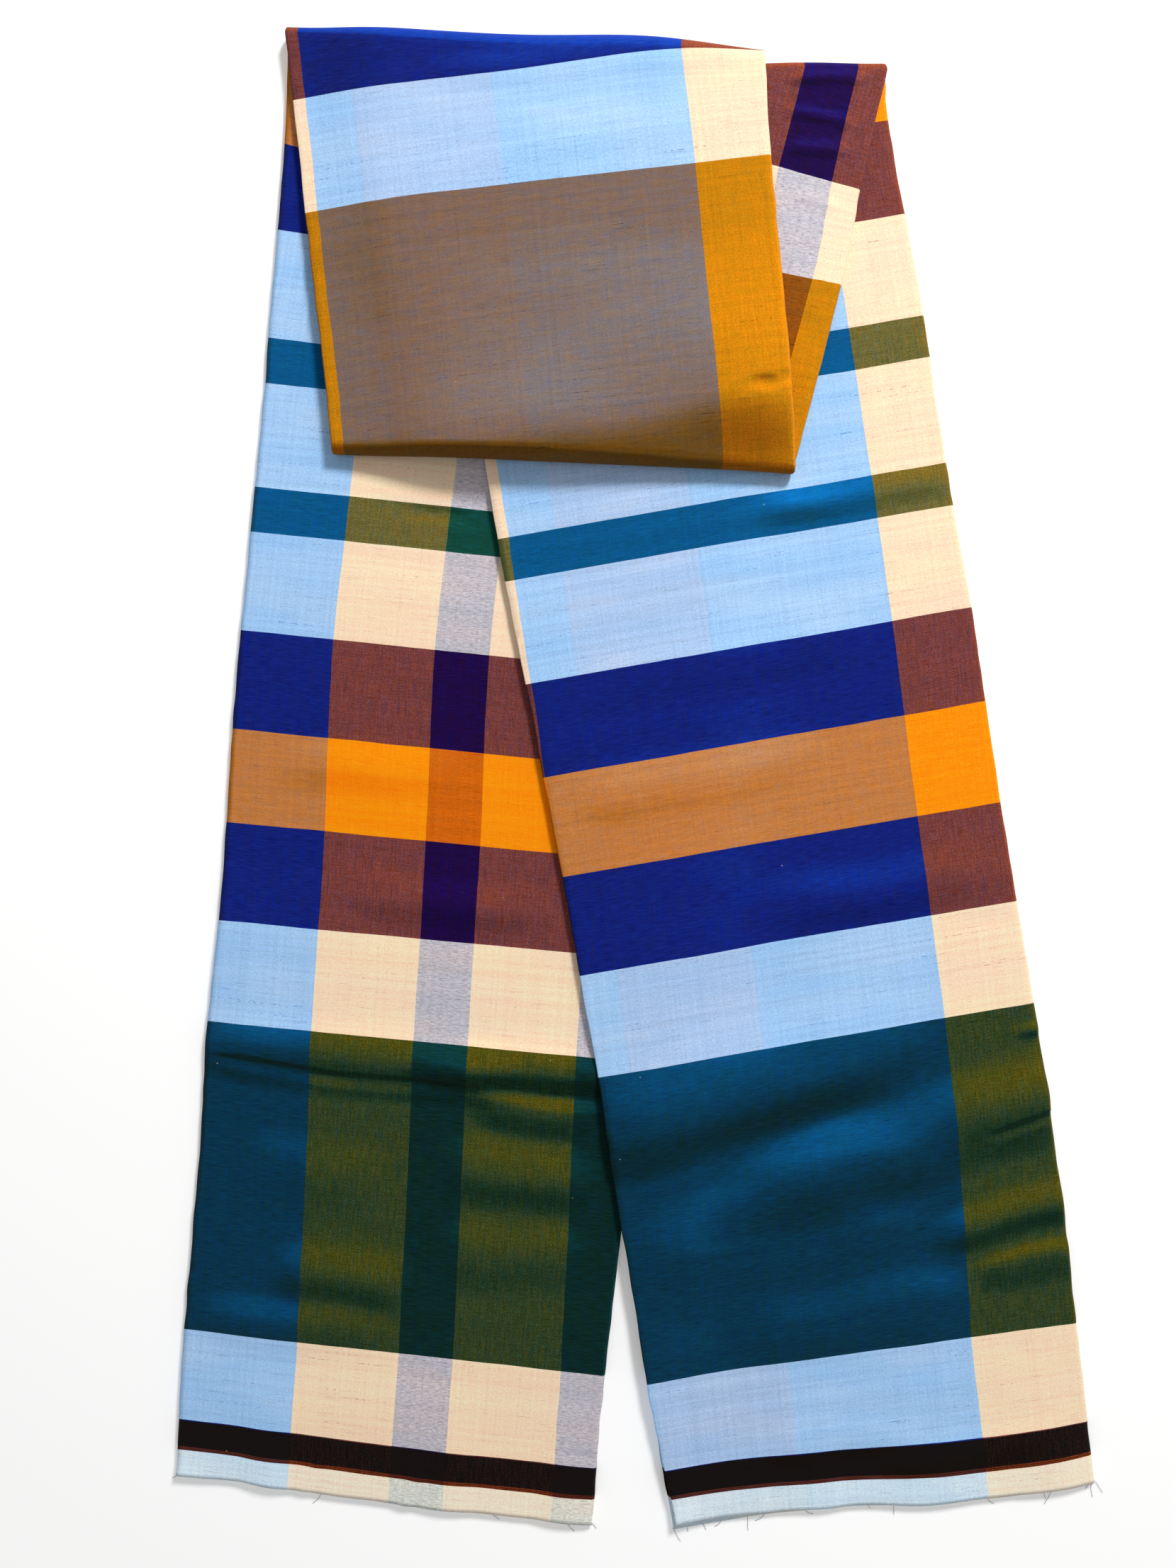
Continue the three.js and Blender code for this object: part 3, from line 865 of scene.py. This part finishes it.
YARN_FINISHES = [
    thread_finish("indigo_yarn", (0.012, 0.016, 0.055)),
    thread_finish("rust_yarn", (0.42, 0.16, 0.03)),
    thread_finish("pale_yarn", (0.33, 0.45, 0.62)),
]

# A loose yarn: its radius, the angles of its three sides, the least and most that a long one and a
# short one measure, and the length that lies in the cloth.
YARN_RADIUS = 0.00013
YARN_SIDES = (0.0, 2.094, 4.189)
LONG_YARN = (0.005, 0.013)
SHORT_YARN = (0.0005, 0.0017)
FIXED_LENGTH = 0.001


def frayed_yarns(name, edge, outward, long_count, short_count, seed):
    """Loose yarns at a raw edge: a few long ones, and the short ends of the warp all along it."""
    chance = random.Random(seed)
    vertices, faces, finishes = [], [], []
    for i in range(long_count + short_count):
        is_long = i < long_count
        root = Vector(edge[chance.randrange(len(edge))])
        length = chance.uniform(*(LONG_YARN if is_long else SHORT_YARN))
        steps = 9 if is_long else 2
        heading = math.atan2(outward.y, outward.x) + chance.uniform(-0.7, 0.7)
        curl = chance.uniform(-1.3, 1.3) / steps if is_long else 0.0
        finish = chance.choices((0, 1, 2), (6, 1, 0) if is_long else (2, 1, 5))[0]
        spot = root - outward * FIXED_LENGTH
        first = len(vertices)
        for k in range(steps + 1):
            side = Vector((-math.sin(heading), math.cos(heading), 0))
            for turn in YARN_SIDES:
                away = side * math.cos(turn) + Vector((0, 0, math.sin(turn)))
                vertices.append(spot + away * YARN_RADIUS)
            heading += curl + (chance.uniform(-0.25, 0.25) if is_long else 0.0)
            spot = spot + Vector((math.cos(heading), math.sin(heading), 0)) * (length / steps)
            spot.z = max(YARN_RADIUS, spot.z - (0.0012 if is_long else 0.0002))
        for k in range(steps):
            for turn in range(3):
                a, b = first + 3 * k + turn, first + 3 * k + (turn + 1) % 3
                faces.append((a, b, b + 3, a + 3))
                finishes.append(finish)
    mesh = bpy.data.meshes.new(name)
    mesh.from_pydata(vertices, [], faces)
    for finish in YARN_FINISHES:
        mesh.materials.append(finish)
    mesh.polygons.foreach_set("material_index", finishes)
    yarns = bpy.data.objects.new(name, mesh)
    bpy.context.scene.collection.objects.link(yarns)
    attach(yarns, "root")
    return yarns


def cut_edge(mesh, last_line):
    """The points along one raw end of a sheet."""
    count = mesh["points_across"]
    spots = mesh.vertices[-count:] if last_line else mesh.vertices[:count]
    return [v.co.copy() for v in spots]


left_leg_lines = flat_lines("left_leg", last_fold="top_left")
left_leg = lay_cloth("left_leg_cloth", cloth_mesh("left_leg", left_leg_lines, outer_layers, left_end))
left_yarns = frayed_yarns(
    "left_end_yarns",
    cut_edge(left_leg.data, last_line=False),
    LEFT_END.outward,
    long_count=5,
    short_count=200,
    seed=11,
)
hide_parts("left_leg")

# The front flap
# The band folds forward over the whole stack at the top left, comes down as the flap that shows,
# and folds back under itself along the flap's bottom edge. The bronze middle of the cloth is here.
FOLDS["bottom"] = Fold(BOTTOM_FOLD, "front_flap", "under_flap", 1, -1, -1, (0.0, 0.0))
CREASES["front_flap"] = [
    Crease((-0.220, 0.197), (0.200, 0.284), 0.110, 0.060, 0.0088),
    Crease((0.064, 0.2535), (0.106, 0.2620), 0.0035, 0.0025, -0.0026),
    Crease((-0.180, 0.312), (0.060, 0.338), 0.040, 0.036, 0.0008),
    Crease((-0.160, 0.456), (0.078, 0.472), 0.022, 0.014, 0.0012),
    Crease((-0.100, 0.412), (0.090, 0.430), 0.026, 0.022, 0.0008),
]
front_flap_lines = [
    *fold_lines("top_left"),
    *flat_lines("front_flap", "top_left", "bottom"),
    *fold_lines("bottom"),
]
front_flap = lay_cloth("front_flap_cloth", cloth_mesh("front_flap", front_flap_lines, outer_layers))
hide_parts("front_flap")

# The under flap
# Behind the flap the band runs up again, leaning to the right, and folds back at the top right.
# Only its right-hand side shows, beside the flap.
FOLDS["top_right"] = Fold(TOP_RIGHT_FOLD, "under_flap", "right_leg", -1, 1, -1, (0.0, 0.0))
CREASES["under_flap"] = [
    Crease((0.090, 0.458), (0.160, 0.462), 0.005, 0.005, 0.0010),
    Crease((0.092, 0.438), (0.150, 0.431), 0.004, 0.005, 0.0012),
    Crease((0.092, 0.412), (0.146, 0.414), 0.006, 0.005, 0.0010),
    Crease((0.096, 0.384), (0.140, 0.376), 0.006, 0.006, 0.0009),
    Crease((0.108, 0.300), (0.130, 0.350), 0.006, 0.006, 0.0008),
    Crease((0.104, 0.236), (0.118, 0.290), 0.005, 0.004, 0.0010),
]
under_flap_lines = [*flat_lines("under_flap", "bottom", "top_right"), *fold_lines("top_right")]
under_flap = lay_cloth("under_flap_cloth", cloth_mesh("under_flap", under_flap_lines, outer_layers))
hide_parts("under_flap")

# The right leg
# The band's last run comes out from under the stack, crosses the left leg's edge and lies on the
# floor. Its teal end has slanting troughs, and its raw end is bowed, with the under layer showing.
CREASES["right_leg"] = [
    Crease((-0.060, -0.250), (0.210, -0.163), 0.064, 0.034, 0.0052),
    Crease((0.030, -0.292), (0.350, -0.178), 0.036, 0.036, 0.0046),
    Crease((0.250, -0.166), (0.290, -0.156), 0.007, 0.006, 0.0013),
    Crease((0.226, -0.234), (0.288, -0.212), 0.0025, 0.008, -0.0008),
    Crease((-0.020, -0.318), (0.200, -0.286), 0.046, 0.050, 0.0024),
    Crease((0.186, -0.302), (0.330, -0.262), 0.022, 0.018, 0.0021),
    Crease((0.214, -0.324), (0.316, -0.299), 0.010, 0.022, 0.0016),
    Crease((0.050, -0.360), (0.240, -0.334), 0.030, 0.044, 0.0018),
    Crease((0.070, -0.440), (0.200, -0.424), 0.020, 0.016, 0.0012),
    Crease((0.150, -0.452), (0.290, -0.418), 0.016, 0.014, 0.0014),
    Crease((0.060, 0.172), (0.230, 0.206), 0.018, 0.014, 0.0018),
    Crease((0.170, 0.148), (0.205, 0.152), 0.005, 0.004, -0.0009),
    Crease((-0.060, 0.060), (0.180, 0.104), 0.030, 0.030, 0.0010),
    Crease((-0.060, -0.016), (0.140, 0.020), 0.026, 0.022, 0.0014),
    Crease((0.060, -0.086), (0.260, -0.052), 0.026, 0.024, 0.0014),
    Crease((0.205, -0.096), (0.250, -0.088), 0.005, 0.004, -0.0008),
]
RIGHT_END = RawEnd(
    along=CUT_LENGTH,
    outward=Vector((0.17, -0.985, 0)),
    up=1,
    bow=[(0.60, 0.0042), (0.82, 0.0044)],
    uneven=0.0010,
    ragged=lambda share: 0.35 + 2.2 * (share - 0.62) ** 2,
    rise=0.0026,
    slip=0.0024,
)


def right_end(spot, share, point, along):
    return shape_end(RIGHT_END, spot, share, point, along)


right_leg_lines = flat_lines("right_leg", first_fold="top_right")
right_leg = lay_cloth("right_leg_cloth", cloth_mesh("right_leg", right_leg_lines, outer_layers, right_end))
right_yarns = frayed_yarns(
    "right_end_yarns",
    cut_edge(right_leg.data, last_line=True),
    RIGHT_END.outward,
    long_count=18,
    short_count=260,
    seed=23,
)
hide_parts("right_leg")

# The hidden layers
# Inside the band the cloth runs back and forth once more: two layers joined by a fold on the
# right, with the open selvedge on the left. They show only at the left edge and the raw ends.
hidden_lines = [
    *flat_lines("left_leg", last_fold="top_left", finer=0.4),
    *fold_lines("top_left", 8),
    *flat_lines("front_flap", "top_left", "bottom", finer=0.5),
    *fold_lines("bottom", 8),
    *flat_lines("under_flap", "bottom", "top_right", finer=0.5),
    *fold_lines("top_right", 8),
    *flat_lines("right_leg", first_fold="top_right", finer=0.4),
]


def both_ends(spot, share, point, along):
    end = LEFT_END if along < CUT_LENGTH / 2 else RIGHT_END
    return shape_end(end, spot, share, point, along)


hidden_mesh = cloth_mesh("hidden_layers", hidden_lines, inner_layers, both_ends)
hidden_layers = lay_cloth("hidden_layers_cloth", hidden_mesh)
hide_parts("hidden_layers")

# The floor
# A plain pale sheet under the cloth, which isn't part of it. It glows faintly, so that it is
# nearly white in the picture.
FLOOR_REACH = 4.0
floor_mesh = bpy.data.meshes.new("floor")
corners = [(x * FLOOR_REACH, y * FLOOR_REACH, 0) for x, y in ((-1, -1), (1, -1), (1, 1), (-1, 1))]
floor_mesh.from_pydata(corners, [], [(0, 1, 2, 3)])
floor = bpy.data.objects.new("floor", floor_mesh)
bpy.context.scene.collection.objects.link(floor)
floor.location.z = -0.0004
floor_finish = bpy.data.materials.new("pale_floor")
floor_finish.use_nodes = True
floor_shader = floor_finish.node_tree.nodes["Principled BSDF"]
floor_shader.inputs["Base Color"].default_value = (0.96, 0.96, 0.955, 1)
floor_shader.inputs["Emission Color"].default_value = (1.0, 1.0, 1.0, 1)
floor_shader.inputs["Emission Strength"].default_value = 0.18
floor_shader.inputs["Roughness"].default_value = 0.9
floor_shader.inputs["Specular IOR Level"].default_value = 0.1
floor_mesh.materials.append(floor_finish)

# The light
# A broad soft source from the upper right, and an even white surround.
world = bpy.data.worlds.new("surround")
bpy.context.scene.world = world
world.use_nodes = True
world.node_tree.nodes["Background"].inputs["Color"].default_value = (1.0, 1.0, 1.0, 1)
world.node_tree.nodes["Background"].inputs["Strength"].default_value = 0.41
WINDOW_PLACE = Vector((1.0, 2.0, 1.8))
window_data = bpy.data.lights.new("window", "AREA")
window_data.energy = 74
window_data.size = 0.55
window = bpy.data.objects.new("window", window_data)
window.location = WINDOW_PLACE
window.rotation_euler = (-WINDOW_PLACE).to_track_quat("-Z", "Y").to_euler()
bpy.context.scene.collection.objects.link(window)

# The camera
# Straight above the cloth at arm's length, as a hand-held picture of a thing on the floor is, and
# a little to its left.
CAMERA_PLACE = (-0.0313, 0.0, 0.780)
PICTURE_HEIGHT = 2212
PICTURE_FOCAL = 1656
SENSOR = 36.0
camera_data = bpy.data.cameras.new("camera")
camera_data.sensor_width = SENSOR
camera_data.lens = SENSOR * PICTURE_FOCAL / PICTURE_HEIGHT
camera_data.clip_start = 0.05
camera = bpy.data.objects.new("camera", camera_data)
camera.location = CAMERA_PLACE
camera.rotation_euler = (0, 0, 0)
bpy.context.scene.collection.objects.link(camera)
bpy.context.scene.camera = camera
bpy.context.scene.view_settings.view_transform = "Standard"
